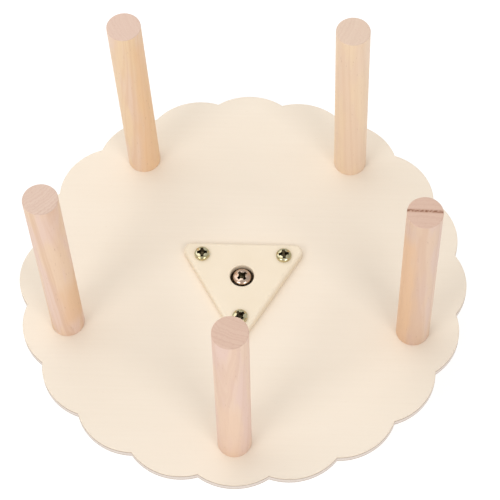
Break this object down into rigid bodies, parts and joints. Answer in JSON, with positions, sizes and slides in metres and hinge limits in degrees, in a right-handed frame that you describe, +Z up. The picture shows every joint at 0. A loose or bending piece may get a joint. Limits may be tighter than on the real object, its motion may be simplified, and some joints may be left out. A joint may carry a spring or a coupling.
{
  "type": "yarn swift",
  "caption": "Tabletop yarn swift: a scalloped plywood platter with upright round pegs, turning on a ball bearing above a round base board on rubber feet.",
  "frame": {"origin": "on the table, under the pivot, at the centre of the footprint of the platter", "axes": "+Z up along the pivot, -Y towards the first peg and the front corner of the cover plate"},
  "size_m": [0.26, 0.26, 0.1625],
  "materials": {
    "platter_plywood": "smooth unvarnished pale plywood with a cut ply edge",
    "peg_wood": "sanded bare dowel with sawn end grain",
    "base_plywood": "smooth unvarnished plywood with an eased edge",
    "moulded_plastic": "satin injection moulded",
    "screw_plating": "pale yellowish zinc plating",
    "pivot_plating": "warm nickel plating",
    "zinc_steel": "zinc plated",
    "bearing_steel": "ground and polished",
    "seal_rubber": "moulded rubber bearing seal",
    "nylon": "natural nylon",
    "foot_rubber": "matt moulded rubber"
  },
  "bodies": {
    "base": {"base_board": "base_plywood", "insert_nut": "zinc_steel", "base_washer": "zinc_steel", "spacer_bush": "zinc_steel", "bearing_inner_ring": "bearing_steel", "pivot_screw": "pivot_plating", "pivot_collar": "zinc_steel", "foot_1": "foot_rubber", "foot_2": "foot_rubber", "foot_3": "foot_rubber", "foot_4": "foot_rubber", "foot_screw_1": "zinc_steel", "foot_screw_2": "zinc_steel", "foot_screw_3": "zinc_steel", "foot_screw_4": "zinc_steel"},
    "rotor": {"platter": "platter_plywood", "peg_1": "peg_wood", "peg_2": "peg_wood", "peg_3": "peg_wood", "peg_4": "peg_wood", "peg_5": "peg_wood", "peg_screw_1": "zinc_steel", "peg_screw_2": "zinc_steel", "peg_screw_3": "zinc_steel", "peg_screw_4": "zinc_steel", "peg_screw_5": "zinc_steel", "cover_plate": "moulded_plastic", "cover_screw_1": "screw_plating", "cover_screw_2": "screw_plating", "cover_screw_3": "screw_plating", "bearing_housing": "moulded_plastic", "housing_nut_1": "zinc_steel", "housing_nut_2": "zinc_steel", "housing_nut_3": "zinc_steel", "bearing_outer_ring": "bearing_steel", "upper_seal": "seal_rubber", "lower_seal": "seal_rubber"},
    "ball_train": {"bearing_cage": "nylon", "bearing_ball_1": "bearing_steel", "bearing_ball_2": "bearing_steel", "bearing_ball_3": "bearing_steel", "bearing_ball_4": "bearing_steel", "bearing_ball_5": "bearing_steel", "bearing_ball_6": "bearing_steel", "bearing_ball_7": "bearing_steel"}
  },
  "joints": [
    {"name": "platter_spin", "type": "hinge", "parent": "base", "child": "rotor", "pos_m": [0, 0, 0.0295], "axis": [0, 0, 1], "continuous": true},
    {"name": "ball_train_spin", "type": "hinge", "parent": "base", "child": "ball_train", "pos_m": [0, 0, 0.0295], "axis": [0, 0, 1], "continuous": true}
  ],
  "couplings": [
    {"joint": "ball_train_spin", "follows": "platter_spin", "ratio": 0.6394}
  ]
}
